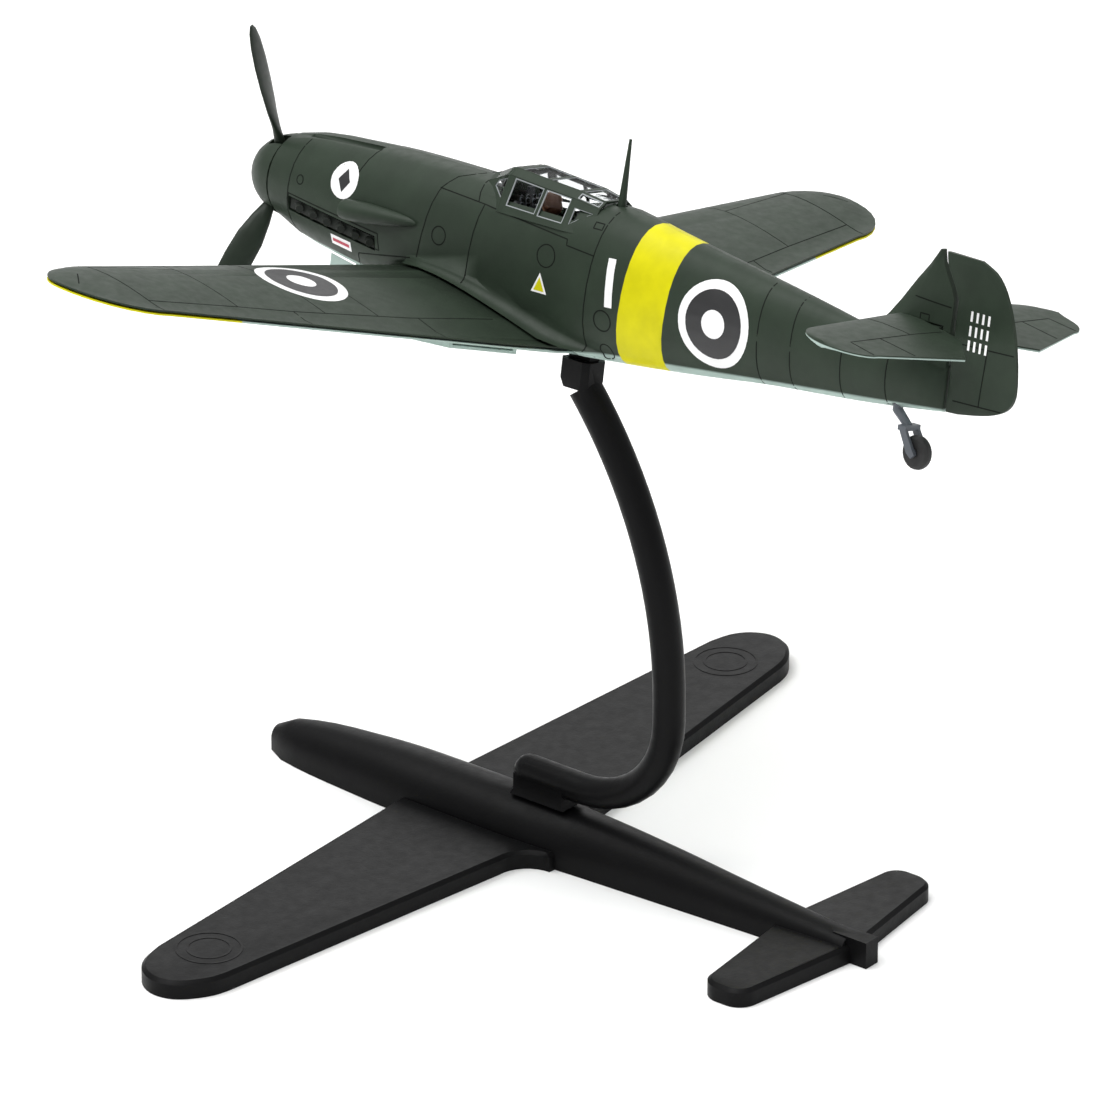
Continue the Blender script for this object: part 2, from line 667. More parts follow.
def wing_stations(start):
    half = WING_SPAN / 2
    tip_start = half - WING_TIP_LENGTH
    outer = [tip_start] + [tip_start + WING_TIP_LENGTH * t for t in TIP_SHARES]
    return spread(start, tip_start, 7)[:-1] + outer


def wing_ring(x, upper, grow=0.0):
    """Closed section of one wing half at a place along the span."""
    lead, trail = wing_edges(x)
    outer, flat = [], []
    for share in chord_shares():
        y = station(blend(lead, trail, share))
        top, bottom = airfoil(x, share)
        base = split_z(x, y)
        surface = top + grow if upper else bottom - grow
        edge = GAP / 2 if upper else -GAP / 2
        outer.append((x, y, base + surface))
        flat.append((x, y, base + edge + (8 * MM if grow else 0.0)))
    return outer + flat[::-1]


def upper_panel(side):
    rings = [wing_ring(side * x, True) for x in wing_stations(WING_INNER_X)]
    return loft("panel", rings)


def belly_dip(x, y):
    """How far the centre section hangs below the airfoil, to carry on the fuselage's belly."""
    aft = DATUM_AFT - y * DRAWN_LENGTH / PLANE_LENGTH
    points = hull_profile(aft)
    lower = [p for p in points if p[1] < 0]
    for (xa, za), (xb, zb) in zip(lower, lower[1:]):
        if xb <= abs(x) <= xa:
            t = (xa - abs(x)) / max(xa - xb, 1e-9)
            return blend(za, zb, t)
    return 0.0


def lower_wing(grow=0.0):
    outboard = wing_stations(WING_ROOT_X + 0.3 * MM)
    inboard = [0.0, 1.8 * MM, 3.4 * MM, 4.6 * MM, 5.4 * MM]
    xs = [-x for x in outboard[::-1]] + [-x for x in inboard[:0:-1]] + inboard + outboard
    rings = []
    for x in xs:
        ring = wing_ring(x, False, grow)
        if abs(x) < WING_ROOT_X:
            steps = AIRFOIL_STEPS + 1
            for i in range(steps):
                px, y, z = ring[i]
                ring[i] = (px, y, min(z, belly_dip(px, y) - grow))
        rings.append(ring)
    return loft("lower", rings)


def wheel_plug(side, margin):
    x = side * WHEEL_X
    y = station(WHEEL_AFT)
    return rod("plug", (x, y, -14 * MM), (x, y, 2 * MM), WHEEL_RADIUS + margin, 28)


def door_plug(side, margin):
    low, high = (value * side for value in GEAR_DOOR_X)
    low, high = min(low, high) - margin, max(low, high) + margin
    y = station(WHEEL_AFT)
    half = GEAR_DOOR_WIDTH / 2 + margin
    return box("plug", (low, y - half, -14 * MM), (high, y + half, 2 * MM))


def tongue_slot(margin):
    width, length, height = TONGUE_SIZE
    y = station(TONGUE_AFT)
    return box("slot", (-width / 2 - margin, y - length / 2 - margin, BELLY_Z - 2 * MM),
               (width / 2 + margin, y + length / 2 + margin, BELLY_Z + height))


def build_wing(paint, underside, dark, parent):
    blank = lower_wing()
    for side, word in ((-1, "left"), (1, "right")):
        wheel = copy_of(blank, "wheel")
        keep_common(wheel, wheel_plug(side, 0.0))
        finish(wheel, "main_wheel_" + word, dark, parent)
        door = copy_of(blank, "door")
        keep_common(door, door_plug(side, 0.0))
        finish(door, "gear_door_" + word, underside, parent)
        cut(blank, wheel_plug(side, GAP), door_plug(side, GAP))
        panel = upper_panel(side)
        cut(panel, hull_solid("grown", GAP, HULL_FRONT_AFT, 90 * MM))
        finish(panel, "wing_upper_" + word, paint, parent)
    cut(blank, tongue_slot(GAP))
    finish(blank, "wing_lower", underside, parent)


# ================================================================ tail
def tailplane(side):
    half = TAIL_SPAN / 2
    tip_start = half - TAIL_TIP_LENGTH
    inner_x, outer_x, inner_aft = TAIL_CUTOUT
    stations = [inner_x, 3.6 * MM, outer_x, 9 * MM, 13 * MM, tip_start]
    stations += [tip_start + TAIL_TIP_LENGTH * t for t in TIP_SHARES]
    rings = []
    for x in stations:
        straight = min(x, tip_start)
        share = (straight - inner_x) / (tip_start - inner_x)
        lead = blend(*TAIL_LEADING_AFT, share)
        if straight < outer_x:
            trail = blend(inner_aft, TAIL_TRAILING_AFT[0], (straight - inner_x) / (outer_x - inner_x))
        else:
            trail = blend(*TAIL_TRAILING_AFT, (straight - outer_x) / (tip_start - outer_x))
        if x > tip_start:
            t = (x - tip_start) / TAIL_TIP_LENGTH
            pull = 1.0 - math.sqrt(1.0 - t * t)
            lead = blend(lead, TAIL_TIP_AFT, pull)
            trail = blend(trail, TAIL_TIP_AFT, pull)
        thick = TAILPLANE_THICKNESS / 2 * (1.0 - 0.35 * x / half)
        shape = ((0.0, 0.3), (0.06, 0.62), (0.2, 0.92), (0.4, 1.0), (0.7, 0.7), (1.0, 0.32))
        ring = []
        for sign, half_shape in ((1, shape), (-1, shape[::-1])):
            for u, h in half_shape:
                aft = blend(lead, trail, u)
                middle = TAILPLANE_Z - (aft - TAIL_LEVEL_AFT) * math.tan(TAIL_INCIDENCE)
                ring.append((side * x, station(aft), middle + sign * thick * h))
        rings.append(ring)
    return loft("tailplane", rings)


def build_tailplanes(paint, parent):
    for side, word in ((-1, "left"), (1, "right")):
        plane = tailplane(side)
        tab = tail_tab(0.0)
        limit = GAP / 2 + 0.05 * MM
        trim = box("trim", (-side * 10 * MM, station(130 * MM), 0), (side * limit, station(90 * MM), 12 * MM))
        outer = box("trim", (side * 1.9 * MM, station(130 * MM), 0), (side * 30 * MM, station(90 * MM), 12 * MM))
        cut(tab, trim, outer)
        join(plane, tab)
        finish(plane, "tailplane_" + word, paint, parent)


def rudder_ring(z, lead, trail, nose):
    """Section of the rudder; a round nose about the hinge, then straight sides to the rear."""
    ring = []
    centre = lead + nose
    for k in range(7):
        angle = math.pi * (0.5 + k / 6)
        ring.append((nose * math.sin(angle), station(centre + nose * math.cos(angle)), z))
    middle = blend(centre, trail, 0.45)
    ring.append((-blend(nose, RUDDER_EDGE, 0.4), station(middle), z))
    ring.append((-RUDDER_EDGE, station(trail), z))
    ring.append((RUDDER_EDGE, station(trail), z))
    ring.append((blend(nose, RUDDER_EDGE, 0.4), station(middle), z))
    return ring


def build_rudder(paint, parent):
    rings = []
    hinge_lead = RUDDER_HINGE_AFT - RUDDER_NOSE_RADIUS
    for z in denser([row[0] for row in RUDDER_ROWS], 3):
        trail = table(RUDDER_ROWS, z * MM, 1) * MM
        rings.append(rudder_ring(z * MM, hinge_lead, trail, RUDDER_NOSE_RADIUS))
    for z in denser([row[0] for row in HORN_ROWS], 3):
        lead = table(tuple((row[0], row[2]) for row in FIN_ROWS), z * MM, 1) * MM + 2 * GAP
        nose = RUDDER_NOSE_RADIUS * blend(0.85, 0.55, max(z - 12.8, 0.0) / 2.5)
        rings.append(rudder_ring(z * MM, lead, table(HORN_ROWS, z * MM, 1) * MM, nose))
    rudder = loft("rudder", rings)
    finish(rudder, "rudder", paint, parent, (0, station(RUDDER_HINGE_AFT), 0))


def build_tail_wheel(grey, rubber, parent):
    wheel_y = station(TAIL_WHEEL_AFT)
    top_y = station(TAIL_LEG_TOP_AFT)
    root_z = table(HULL_ROWS, TAIL_LEG_TOP_AFT, 3) * MM
    crown_z = TAIL_WHEEL_Z + TAIL_WHEEL_RADIUS + GAP
    crown_y = blend(wheel_y, top_y, 0.45)
    half = TAIL_WHEEL_WIDTH / 2 + GAP
    leg = rod("leg", (0, top_y, root_z + LEG_SOCKET_DEPTH), (0, top_y, root_z - 0.5 * MM), TAIL_LEG_RADIUS, 12)
    slant = rod("slant", (0, top_y, root_z - 0.3 * MM), (0, crown_y, crown_z + 0.3 * MM),
                TAIL_LEG_RADIUS, 12, TAIL_LEG_RADIUS * 0.85)
    crown = box("crown", (-half - FORK_ARM, crown_y - 0.6 * MM, crown_z),
                (half + FORK_ARM, crown_y + 0.6 * MM, crown_z + 0.6 * MM))
    join(leg, slant, crown)
    for side in (-1, 1):
        outline = [(crown_y + 0.5 * MM, crown_z + 0.3 * MM), (crown_y - 0.5 * MM, crown_z + 0.3 * MM),
                   (wheel_y - 0.6 * MM, TAIL_WHEEL_Z - 0.1 * MM), (wheel_y - 0.1 * MM, TAIL_WHEEL_Z - 0.6 * MM),
                   (wheel_y + 0.6 * MM, TAIL_WHEEL_Z - 0.1 * MM)]
        low, high = sorted((side * half, side * (half + FORK_ARM)))
        join(leg, prism("arm", outline, low, high, "X"))
    axle = rod("axle", (-half - FORK_ARM / 2, wheel_y, TAIL_WHEEL_Z), (half + FORK_ARM / 2, wheel_y, TAIL_WHEEL_Z),
               TAIL_AXLE_RADIUS, 12)
    join(leg, axle)
    finish(leg, "tail_wheel_leg", grey, parent)

    width = TAIL_WHEEL_WIDTH / 2
    radius = TAIL_WHEEL_RADIUS
    profile = ((-width, radius * 0.5), (-width, radius * 0.8), (-width * 0.6, radius * 0.97), (0, radius),
               (width * 0.6, radius * 0.97), (width, radius * 0.8), (width, radius * 0.5))
    rings = []
    for x, r in profile:
        rings.append([(x, wheel_y + r * math.cos(math.tau * i / 24), TAIL_WHEEL_Z + r * math.sin(math.tau * i / 24))
                      for i in range(24)])
    wheel = loft("wheel", rings)
    cut(wheel, rod("bore", (-2 * MM, wheel_y, TAIL_WHEEL_Z), (2 * MM, wheel_y, TAIL_WHEEL_Z),
                   TAIL_AXLE_RADIUS + RUNNING_CLEARANCE, 16))
    finish(wheel, "tail_wheel", rubber, parent, (0, wheel_y, TAIL_WHEEL_Z))


# ================================================================ propeller
def spinner_radius(share, base):
    """Radius at a share of the way from the tip to the base."""
    return base * (1.0 - (1.0 - share) ** SPINNER_FULLNESS) ** (1 / SPINNER_FULLNESS)


def propeller_blade(angle):
    """Twisted blade along the radius, turned about the shaft by angle towards port."""
    centre_y = station(PROPELLER_AFT)
    reach = PROPELLER_DIAMETER / 2
    # share of the radius, share of the greatest chord, thickness, pitch
    rows = ((0.08, 0.36, 1.30, 62), (0.22, 0.38, 1.30, 52), (0.32, 0.66, 0.95, 40), (0.45, 0.93, 0.75, 32),
            (0.60, 1.00, 0.62, 27), (0.75, 0.94, 0.52, 23), (0.88, 0.74, 0.42, 20), (0.96, 0.46, 0.34, 18),
            (0.995, 0.18, 0.26, 18))
    rings = []
    for share, width, thick, pitch in rows:
        radius = reach * share
        half = BLADE_CHORD * width / 2
        deep = thick * MM / 2
        turn = math.radians(pitch)
        ring = []
        for i in range(12):
            a = math.tau * i / 12
            across, through = half * math.cos(a), deep * math.sin(a)
            side = across * math.cos(turn) - through * math.sin(turn)
            forward = across * math.sin(turn) + through * math.cos(turn)
            x = -radius * math.sin(angle) + side * math.cos(angle)
            z = THRUST_Z + radius * math.cos(angle) + side * math.sin(angle)
            ring.append((x, centre_y + forward, z))
        rings.append(ring)
    return loft("blade", rings)


def build_propeller(paint, dark, parent):
    rear = HULL_FRONT_AFT - GAP
    base = table(HULL_ROWS, HULL_FRONT_AFT, 1) * MM
    outer = [(station(blend(SPINNER_TIP_AFT, rear, s)), spinner_radius(s, base))
             for s in (0.003, 0.03, 0.08, 0.16, 0.28, 0.44, 0.62, 0.8, 1.0)]
    hollow_tip = SPINNER_TIP_AFT + SPINNER_WALL
    inner = [(station(blend(hollow_tip, rear, s)), spinner_radius(s, base - SPINNER_WALL))
             for s in (0.02, 0.1, 0.25, 0.5, 0.8, 1.0)]
    inner.append((station(rear + 1 * MM), base - SPINNER_WALL))
    spinner = turned("spinner", (0, THRUST_Z), outer)
    cut(spinner, turned("hollow", (0, THRUST_Z), inner))
    centre_y = station(PROPELLER_AFT)
    for i in range(BLADE_COUNT):
        angle = BLADE_TURN + math.tau * i / BLADE_COUNT
        half = BLADE_ROOT_RADIUS + GAP
        slot = box("slot", (-half, station(rear + 1 * MM), 2.2 * MM), (half, centre_y + half, 9 * MM))
        slot.data.transform(Matrix.Translation((0, 0, THRUST_Z)) @ Matrix.Rotation(-angle, 4, "Y"))
        cut(spinner, slot)
    axis_point = (0, centre_y, THRUST_Z)
    finish(spinner, "spinner", paint, parent, axis_point)

    propeller = turned("hub", (0, THRUST_Z), ((centre_y - HUB_LENGTH / 2, HUB_RADIUS),
                                              (centre_y + HUB_LENGTH / 2, HUB_RADIUS)), 24)
    for i in range(BLADE_COUNT):
        join(propeller, propeller_blade(BLADE_TURN + math.tau * i / BLADE_COUNT))
    stub = SHAFT_RADIUS * 0.8
    cut(propeller, rod("bore", (0, centre_y - 3 * MM, THRUST_Z), (0, centre_y + 3 * MM, THRUST_Z), stub + GAP, 16))
    finish(propeller, "propeller", paint, parent, axis_point)

    plate_rear = station(rear)
    plate_front = plate_rear + BACKPLATE_THICKNESS
    plate = turned("plate", (0, THRUST_Z), ((plate_rear, base - SPINNER_WALL - GAP),
                                            (plate_front, base - SPINNER_WALL - GAP)), 28)
    shaft = rod("shaft", (0, plate_rear + 0.2 * MM, THRUST_Z), (0, station(SHAFT_END_AFT), THRUST_Z), SHAFT_RADIUS, 24)
    pin = rod("pin", (0, plate_front - 0.2 * MM, THRUST_Z), (0, centre_y + HUB_LENGTH / 2 + 0.3 * MM, THRUST_Z), stub, 16)
    join(plate, shaft, pin)
    finish(plate, "propeller_shaft", dark, parent, axis_point)

    front = station(HULL_FRONT_AFT + NOSE_WALL + GAP)
    ring = turned("ring", (0, THRUST_Z), ((front - RETAINER_LENGTH, RETAINER_RADIUS), (front, RETAINER_RADIUS)), 24)
    cut(ring, rod("bore", (0, front - 4 * MM, THRUST_Z), (0, front + 4 * MM, THRUST_Z), SHAFT_RADIUS + GAP / 2, 24))
    finish(ring, "shaft_retainer", dark, parent, axis_point)


# ================================================================ engine fittings and coolers
def build_exhausts(metal, parent):
    for side, word in ((-1, "left"), (1, "right")):
        strip = exhaust_slot(side, 0.0, 1.5 * MM, -0.3 * MM)
        for i in range(EXHAUST_COUNT):
            share = (i + 0.35) / EXHAUST_COUNT
            aft = blend(*EXHAUST_AFT, share)
            z = blend(*EXHAUST_Z, share)
            x = hull_side_x(aft, z)
            start = (side * (x - 0.9 * MM), station(aft), z)
            end = (side * (x + 0.45 * MM), station(aft + 1.5 * MM), z - 0.12 * MM)
            join(strip, rod("pipe", start, end, EXHAUST_PIPE_RADIUS, 10))
        finish(strip, "exhaust_" + word, metal, parent)


def build_intake(paint, parent):
    """Supercharger intake: a round mouth that fairs back into the port side."""
    rings = []
    for share, size in ((0.0, 0.86), (0.04, 0.97), (0.12, 1.0), (0.3, 0.97), (0.55, 0.78), (0.8, 0.5), (0.97, 0.22)):
        aft = blend(*INTAKE_AFT, share)
        z = blend(*INTAKE_Z, share)
        side = hull_side_x(aft, z)
        x = -(side + INTAKE_STANDOFF * (1 - share) - 0.3 * MM * share)
        rings.append(tube_ring((x, station(aft), z), (0, -1, 0), INTAKE_RADIUS * size, 18))
    intake = loft("intake", rings)
    cut(intake, hull_solid("grown", GAP, 15 * MM, 42 * MM, 12))
    mouth_x = -(hull_side_x(INTAKE_AFT[0], INTAKE_Z[0]) + INTAKE_STANDOFF)
    mouth = (mouth_x - 0.1 * MM, station(INTAKE_AFT[0] - 1 * MM), INTAKE_Z[0])
    back = (mouth_x - 0.1 * MM, station(INTAKE_AFT[0] + INTAKE_MOUTH_DEPTH), INTAKE_Z[0])
    cut(intake, rod("mouth", mouth, back, INTAKE_RADIUS * 0.6, 16, INTAKE_RADIUS * 0.4))
    finish(intake, "supercharger_intake", paint, parent)


def radiator_block(side, inset, rise, front, rear):
    """Block under the wing that follows the dihedral; front and rear are shares of its length."""
    xs = (RADIATOR_X[0] + inset, RADIATOR_X[1] - inset)
    rings = []
    for share in (front, rear):
        depth = blend(*RADIATOR_DEPTH, share) - rise
        ring = []
        for x, low in ((xs[0], True), (xs[1], True), (xs[1], False), (xs[0], False)):
            lead, trail = wing_edges(x)
            aft = blend(RADIATOR_FRONT_AFT, trail - RADIATOR_SETBACK, share)
            y = station(aft)
            base = split_z(x, y) + airfoil(x, min((aft - lead) / (trail - lead), 1.0))[1]
            ring.append((side * x, y, base - depth if low else base + 2 * MM))
        rings.append(ring)
    return loft("block", rings)


def build_radiators(underside, dark, parent):
    overrun = 0.1
    core_front = 0.3
    core_rear = core_front + CORE_THICKNESS / (13 * MM)
    for side, word in ((-1, "left"), (1, "right")):
        duct = radiator_block(side, 0.0, 0.0, 0.0, 1.0)
        cut(duct, radiator_block(side, DUCT_WALL, DUCT_WALL, -overrun, 1.0 + overrun))
        cut(duct, lower_wing(GAP))
        finish(duct, "radiator_" + word, underside, parent)
        core = radiator_block(side, DUCT_WALL + GAP, DUCT_WALL + GAP, core_front, core_rear)
        cut(core, lower_wing(GAP))
        finish(core, "radiator_core_" + word, dark, parent)


def chin_block(inset, bottom, start, end, droop):
    """Chin fairing under the nose, with rounded lower corners."""
    half = OIL_COOLER_HALF_WIDTH - inset
    rings = []
    for share in (0.0, 0.25, 0.6, 1.0):
        aft = blend(start, end, share)
        low = bottom + droop * max(share - 0.25, 0.0)
        wide = half * (1.0 - 0.12 * abs(share - 0.25))
        outline = ((-wide, -2 * MM), (-wide, low + 1.0 * MM), (-wide * 0.7, low), (wide * 0.7, low),
                   (wide, low + 1.0 * MM), (wide, -2 * MM))
        rings.append([(x, station(aft), z) for x, z in outline])
    return loft("chin", rings)


def build_oil_cooler(underside, dark, parent):
    start, end = OIL_COOLER_AFT
    droop = 0.6 * MM
    chin = chin_block(0.0, OIL_COOLER_BOTTOM, start, end, droop)
    cut(chin, chin_block(DUCT_WALL, OIL_COOLER_BOTTOM + DUCT_WALL, start - 3 * MM, end + 3 * MM, droop))
    cut(chin, hull_solid("grown", GAP, HULL_FRONT_AFT, 40 * MM, 14))
    finish(chin, "oil_cooler", underside, parent)
    middle = blend(start, end, 0.3)
    core = chin_block(DUCT_WALL + 2 * GAP, OIL_COOLER_BOTTOM + DUCT_WALL + 2 * GAP, middle, middle + CORE_THICKNESS, 0.0)
    trim = chin_block(DUCT_WALL + GAP, OIL_COOLER_BOTTOM + DUCT_WALL + 2 * GAP, start, end, droop)
    keep_common(core, trim)
    cut(core, hull_solid("grown", GAP, HULL_FRONT_AFT, 40 * MM, 14))
    finish(core, "oil_cooler_core", dark, parent)


# ================================================================ cockpit
def ellipsoid(name, centre, radii, tilt=0.0):
    bm = bmesh.new()
    bmesh.ops.create_uvsphere(bm, u_segments=14, v_segments=9, radius=1.0)
    item = object_from_bmesh(name, bm)
    scale = Matrix.Diagonal((*radii, 1.0))
    item.data.transform(Matrix.Translation(centre) @ Matrix.Rotation(tilt, 4, "X") @ scale)
    return item


def build_cockpit(interior, metal, cloth, parent):
    front, rear = station(COCKPIT_AFT[0]), station(COCKPIT_AFT[1])
    floor_top = COCKPIT_FLOOR_Z + FLOOR_THICKNESS
    half = COCKPIT_HALF_WIDTH
    inner_half = hull_side_x(COCKPIT_AFT[1], COCKPIT_FLOOR_Z, -SKIN_WALL) - GAP
    floor = box("floor", (-inner_half, rear + GAP, COCKPIT_FLOOR_Z), (inner_half, front - GAP, floor_top))
    wall = prism("wall", [(-inner_half, COCKPIT_FLOOR_Z), (inner_half, COCKPIT_FLOOR_Z), (inner_half, 0.2 * MM),
                          (half - GAP, 0.8 * MM), (half - GAP - 0.4 * MM, 6.0 * MM), (1.8 * MM, 8.6 * MM),
                          (-1.8 * MM, 8.6 * MM), (-half + GAP + 0.4 * MM, 6.0 * MM), (-half + GAP, 0.8 * MM),
                          (-inner_half, 0.2 * MM)], rear + GAP, rear + GAP + 0.8 * MM, "Y")
    join(floor, wall)
    finish(floor, "cockpit_floor", interior, parent)

    back_y = station(SEAT_AFT)
    seat_z = floor_top + GAP
    pan_top = seat_z + 1.5 * MM
    seat = box("seat", (-2.0 * MM, back_y - 0.7 * MM, seat_z), (2.0 * MM, back_y + 3.6 * MM, pan_top))
    back = box("back", (-2.0 * MM, back_y - 0.7 * MM, seat_z + 0.5 * MM), (2.0 * MM, back_y, seat_z + 6.2 * MM))
    join(seat, back)
    for side in (-1, 1):
        low, high = sorted((side * 1.5 * MM, side * 2.15 * MM))
        join(seat, box("side", (low, back_y - 0.3 * MM, seat_z + 0.7 * MM), (high, back_y + 3.3 * MM, pan_top + 0.8 * MM)))
    finish(seat, "pilot_seat", interior, parent)

    stick_y = back_y + 4.5 * MM
    stick = rod("stick", (0, stick_y, floor_top + GAP), (0, stick_y, floor_top + 3.4 * MM), 0.28 * MM, 8)
    grip = rod("grip", (0, stick_y, floor_top + 3.2 * MM), (0, stick_y - 0.2 * MM, floor_top + 4.6 * MM), 0.45 * MM, 8)
    foot = rod("foot", (0, stick_y, floor_top + GAP), (0, stick_y, floor_top + 0.8 * MM), 0.8 * MM, 10, 0.4 * MM)
    join(stick, grip, foot)
    finish(stick, "control_column", metal, parent)

    panel_y = front - 1.6 * MM
    panel = prism("panel", [(-3.4 * MM, 2.2 * MM), (3.4 * MM, 2.2 * MM), (3.6 * MM, 4.6 * MM), (2.4 * MM, 6.7 * MM),
                            (-2.4 * MM, 6.7 * MM), (-3.6 * MM, 4.6 * MM)], panel_y - 0.7 * MM, panel_y, "Y")
    sight = box("sight", (-0.5 * MM, panel_y - 0.5 * MM, 6.2 * MM), (0.5 * MM, panel_y - 0.05 * MM, 8.2 * MM))
    join(panel, sight)
    finish(panel, "instrument_panel", interior, parent)

    lap_z = pan_top + GAP + 0.9 * MM
    trunk_y = back_y + GAP + 1.25 * MM
    pilot = ellipsoid("pilot", (0, trunk_y, lap_z + 2.3 * MM), (1.75 * MM, 1.15 * MM, 2.9 * MM))
    hips = ellipsoid("hips", (0, trunk_y + 0.4 * MM, lap_z), (1.3 * MM, 1.35 * MM, 0.85 * MM))
    head = ellipsoid("head", (0, trunk_y + 0.15 * MM, lap_z + 6.1 * MM), (1.05 * MM, 1.2 * MM, 1.35 * MM))
    neck = rod("neck", (0, trunk_y, lap_z + 4.2 * MM), (0, trunk_y + 0.1 * MM, lap_z + 5.6 * MM), 0.6 * MM, 10)
    join(pilot, hips, neck, head)
    for side in (-1, 1):
        shoulder = (side * 1.7 * MM, trunk_y, lap_z + 4.0 * MM)
        elbow = (side * 2.25 * MM, trunk_y + 1.3 * MM, lap_z + 1.7 * MM)
        hand = (side * 0.95 * MM, trunk_y + 3.4 * MM, lap_z + 1.6 * MM)
        knee = (side * 1.05 * MM, trunk_y + 3.1 * MM, lap_z + 0.35 * MM)
        foot_end = (side * 1.35 * MM, trunk_y + 4.6 * MM, floor_top + GAP + 0.75 * MM)
        join(pilot, rod("upper_arm", shoulder, elbow, 0.62 * MM, 10, 0.5 * MM),
             rod("fore_arm", elbow, hand, 0.5 * MM, 10, 0.38 * MM),
             rod("thigh", (side * 0.75 * MM, trunk_y, lap_z), knee, 0.72 * MM, 10, 0.6 * MM),
             rod("shin", knee, foot_end, 0.55 * MM, 10, 0.45 * MM))
    finish(pilot, "pilot_figure", cloth, parent)


def canopy_section(aft, roof_half, roof_z, sill_half, shrink):
    """Arch of roof, sloping shoulders and sides, closed below the sill."""
    low = SILL_Z - 1.5 * MM - shrink * 2
    shoulder_half = roof_half + SHOULDER[0] - shrink
    shoulder_z = roof_z - SHOULDER[1] - shrink * 0.6
    right = [(roof_half - shrink * 0.5, roof_z - shrink), (shoulder_half, shoulder_z),
             (sill_half - shrink, SILL_Z), (sill_half - shrink, low)]
    arch = [(-x, z) for x, z in right[::-1]] + right
    return [(x, station(aft), z) for x, z in arch]


def canopy_piece(rows, gaps, hollow_shifts):
    """One glazed piece; the hollow runs out through an end when its shift passes that end."""
    outer, inner = [], []
    last = len(rows) - 1
    for i, row in enumerate(rows):
        aft, roof_half, roof_z, sill_half = (value * MM for value in row)
        end = {0: 0, last: 1}.get(i)
        aft += 0.0 if end is None else gaps[end]
        outer.append(canopy_section(aft, roof_half, roof_z, sill_half, 0.0))
        aft += 0.0 if end is None else hollow_shifts[end]
        inner.append(canopy_section(aft, roof_half, roof_z, sill_half, GLASS_WALL))
    piece = loft("glass", outer)
    cut(piece, loft("hollow", inner))
    cut(piece, hull_solid("grown", GAP, 30 * MM, 75 * MM, 24))
    return piece


def build_canopy(glass, paint, parent):
    seam, through = GAP / 2, 1.5 * MM
    screen = canopy_piece(WINDSCREEN_ROWS, (0.0, -seam), (1.0 * MM, through))
    finish(screen, "windscreen", glass, parent)
    hood = canopy_piece(HOOD_ROWS, (seam, -seam), (-through, through))
    finish(hood, "canopy_hood", glass, parent)
    rear = canopy_piece(REAR_ROWS, (seam, 0.0), (-through, -0.8 * MM))
    finish(rear, "rear_glazing", glass, parent)
    top = table(HULL_ROWS, MAST_AFT, 2) * MM
    root = (0, station(MAST_AFT), top - MAST_SOCKET_DEPTH)
    collar = (0, station(MAST_AFT), top + GAP)
    tip = (0, station(MAST_TOP[0]), MAST_TOP[1])
    rings = [tube_ring(root, (0, 0, 1), MAST_RADIUS[0], 10), tube_ring(collar, (0, 0, 1), MAST_RADIUS[0], 10),
             tube_ring(tip, (0, 0, 1), MAST_RADIUS[1], 10)]
    finish(loft("mast", rings), "antenna_mast", paint, parent)


# ================================================================ stand
def plane_rotation():
    yaw = Matrix.Rotation(PLANE_YAW, 3, "Z")
    pitch = Matrix.Rotation(PLANE_PITCH, 3, "X")
    roll = Matrix.Rotation(PLANE_ROLL, 3, "Y")
    return yaw @ pitch @ roll


def arm_path():
    """Centre line of the tube: level foot, tight lower bend, long sweep up and forward."""
    lower_y = ARM_FOOT_Y - ARM_BEND_RADIUS
    lower_z = ARM_FOOT_Z + ARM_BEND_RADIUS
    sweep_rise = ARM_SWEEP_RADIUS * math.sin(ARM_SWEEP_ANGLE)
    upright = ARM_HEIGHT - lower_z - sweep_rise
    points = [(FOOT_Y[1] - ARM_RADIUS * 0.9, ARM_FOOT_Z)]
    for i in range(11):
        angle = math.pi / 2 * i / 10
        points.append((ARM_FOOT_Y - ARM_BEND_RADIUS * math.sin(angle), lower_z - ARM_BEND_RADIUS * math.cos(angle)))
    for i in range(ARM_STEPS // 2 + 1):
        angle = ARM_SWEEP_ANGLE * i / (ARM_STEPS // 2)
        if i == 0 and upright < 0.5 * MM:
            continue
        points.append((lower_y + ARM_SWEEP_RADIUS * (1 - math.cos(angle)),
                       lower_z + upright + ARM_SWEEP_RADIUS * math.sin(angle)))
    return points


def arm_top():
    """Where the plane's belly rests."""
    y, z = arm_path()[-1]
    return Vector((0, y, z)) + Vector(SEAT_OFFSET)


def sweep(name, path, radii, steps=24):
    rings = []
    last = len(path) - 1
    for i, (y, z) in enumerate(path):
        before, after = path[max(i - 1, 0)], path[min(i + 1, last)]
        along = Vector((0, after[0] - before[0], after[1] - before[1]))
        rings.append(tube_ring((0, y, z), along, radii[i], steps))
    return loft(name, rings)


def ridge_top(y):
    return table(RIDGE_ROWS, y, 2) * MM


def peg(index, margin, bottom, top):
    low, high = PEG_LENGTHS_Y[index]
    half = PEG_HALF_WIDTH + margin
    return box("peg", (-half, low - margin, bottom), (half, high + margin, top))


